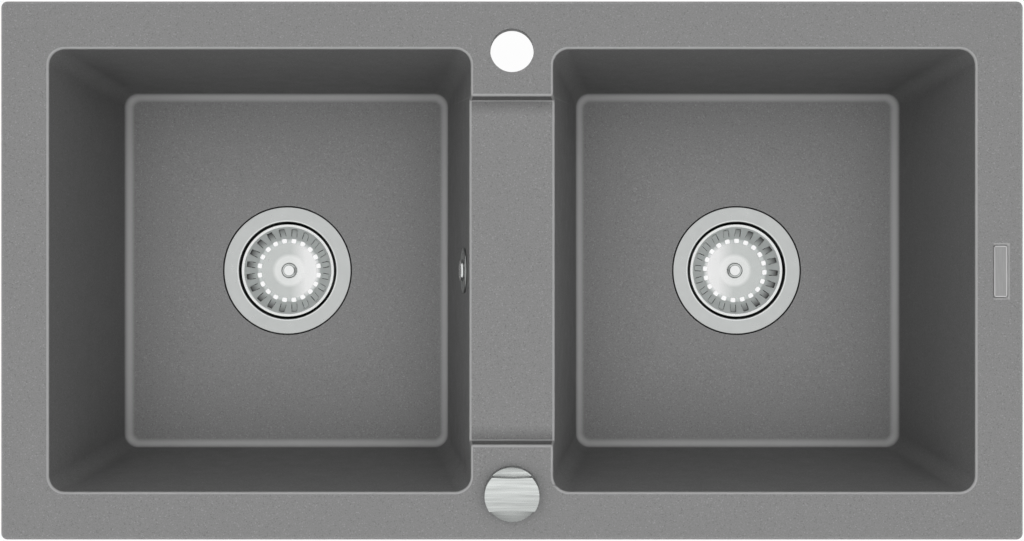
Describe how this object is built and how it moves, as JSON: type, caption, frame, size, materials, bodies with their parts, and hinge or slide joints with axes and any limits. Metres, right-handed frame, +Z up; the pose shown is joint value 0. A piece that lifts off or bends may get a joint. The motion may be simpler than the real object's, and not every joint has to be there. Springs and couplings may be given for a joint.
{
  "type": "double bowl kitchen sink",
  "caption": "Inset composite kitchen sink with equal bowls, a lowered bridge, basket wastes, a pop-up knob, an overflow and a tap hole.",
  "frame": {"origin": "middle of the worktop cut-out, on the worktop's top face, which is the rim's underside", "axes": "+X along the sink to the right bowl, +Y to the tap hole and the wall, +Z up"},
  "size_m": [0.82, 0.432, 0.316],
  "materials": {
    "granite": "grey granite composite, fine matt grain",
    "rubber": "black moulded rubber",
    "plate": "blank plate with a raised frame",
    "flange_steel": "pressed stainless steel, satin",
    "basket_steel": "pressed stainless steel, satin",
    "chrome": "polished",
    "knob_steel": "brushed along the grip bar",
    "waste_plastic": "black polypropylene",
    "grey_plastic": "grey moulded plastic",
    "cable_sheath": "black sheath",
    "hose_plastic": "grey ribbed plastic",
    "clip_steel": "zinc-plated pressed steel"
  },
  "bodies": {
    "sink": {"sink_body": "granite", "rim_seal": "rubber", "overflow_gasket": "rubber", "knob_washer": "rubber", "badge_plate": "plate", "left_waste_cup": "flange_steel", "left_cup_floor": "flange_steel", "left_cup_gasket": "rubber", "left_body_gasket": "rubber", "left_waste_body": "waste_plastic", "left_waste_outlet": "waste_plastic", "left_clamp_screw": "chrome", "right_waste_cup": "flange_steel", "right_cup_floor": "flange_steel", "right_cup_gasket": "rubber", "right_body_gasket": "rubber", "right_waste_body": "waste_plastic", "right_waste_outlet": "waste_plastic", "right_clamp_screw": "chrome", "rocker_pin": "chrome", "overflow_rosette": "chrome", "overflow_screw": "chrome", "waste_ferrule": "chrome", "knob_ferrule": "chrome", "knob_locknut": "grey_plastic", "lift_cable": "cable_sheath", "knob_bezel": "knob_steel", "knob_housing": "waste_plastic", "housing_cap": "waste_plastic", "overflow_elbow": "waste_plastic", "elbow_collar": "waste_plastic", "inlet_collar": "waste_plastic", "overflow_hose": "hose_plastic", "clip_screw_front_left": "clip_steel", "clip_screw_front_right": "clip_steel", "clip_screw_back_left": "clip_steel", "clip_screw_back_right": "clip_steel", "clip_screw_left": "clip_steel", "clip_screw_right": "clip_steel"},
    "knob": {"knob_cap": "knob_steel", "knob_spindle": "chrome", "cable_drum": "grey_plastic"},
    "lift": {"lift_pin": "chrome"},
    "rocker": {"lift_rocker": "grey_plastic"},
    "left_strainer": {"left_basket": "basket_steel", "left_basket_knob": "chrome", "left_basket_seal": "rubber"},
    "right_strainer": {"right_basket": "basket_steel", "right_basket_knob": "chrome", "right_basket_seal": "rubber"},
    "clip_front_left": {"clip_arm_front_left": "clip_steel"},
    "clip_front_right": {"clip_arm_front_right": "clip_steel"},
    "clip_back_left": {"clip_arm_back_left": "clip_steel"},
    "clip_back_right": {"clip_arm_back_right": "clip_steel"},
    "clip_left": {"clip_arm_left": "clip_steel"},
    "clip_right": {"clip_arm_right": "clip_steel"}
  },
  "joints": [
    {"name": "knob_turn", "type": "hinge", "parent": "sink", "child": "knob", "pos_m": [0, -0.1788, 0.01], "axis": [0, 0, -1], "range_deg": [0, 90]},
    {"name": "pin_lift", "type": "slide", "parent": "sink", "child": "lift", "axis": [0, 0, 1], "range_m": [0, 0.008]},
    {"name": "rocker_tilt", "type": "hinge", "parent": "sink", "child": "rocker", "pos_m": [-0.19025, -0.02079, -0.237], "axis": [0.866, 0.5, 0], "range_deg": [0, 19.1]},
    {"name": "left_strainer_lift", "type": "slide", "parent": "lift", "child": "left_strainer", "axis": [0, 0, 1], "range_m": [0, 0.23]},
    {"name": "right_strainer_lift", "type": "slide", "parent": "sink", "child": "right_strainer", "axis": [0, 0, 1], "range_m": [0, 0.23]},
    {"name": "clip_front_left_turn", "type": "hinge", "parent": "sink", "child": "clip_front_left", "pos_m": [-0.205, -0.195, -0.0447], "axis": [0, 0, 1], "range_deg": [-90, 90]},
    {"name": "clip_front_right_turn", "type": "hinge", "parent": "sink", "child": "clip_front_right", "pos_m": [0.205, -0.195, -0.0447], "axis": [0, 0, 1], "range_deg": [-90, 90]},
    {"name": "clip_back_left_turn", "type": "hinge", "parent": "sink", "child": "clip_back_left", "pos_m": [-0.205, 0.195, -0.0447], "axis": [0, 0, 1], "range_deg": [-90, 90]},
    {"name": "clip_back_right_turn", "type": "hinge", "parent": "sink", "child": "clip_back_right", "pos_m": [0.205, 0.195, -0.0447], "axis": [0, 0, 1], "range_deg": [-90, 90]},
    {"name": "clip_left_turn", "type": "hinge", "parent": "sink", "child": "clip_left", "pos_m": [-0.389, 0, -0.0447], "axis": [0, 0, 1], "range_deg": [-90, 90]},
    {"name": "clip_right_turn", "type": "hinge", "parent": "sink", "child": "clip_right", "pos_m": [0.389, 0, -0.0447], "axis": [0, 0, 1], "range_deg": [-90, 90]}
  ],
  "couplings": [
    {"joint": "pin_lift", "follows": "knob_turn", "m_per_rad": 0.00509},
    {"joint": "rocker_tilt", "follows": "knob_turn", "ratio": 0.2122}
  ]
}
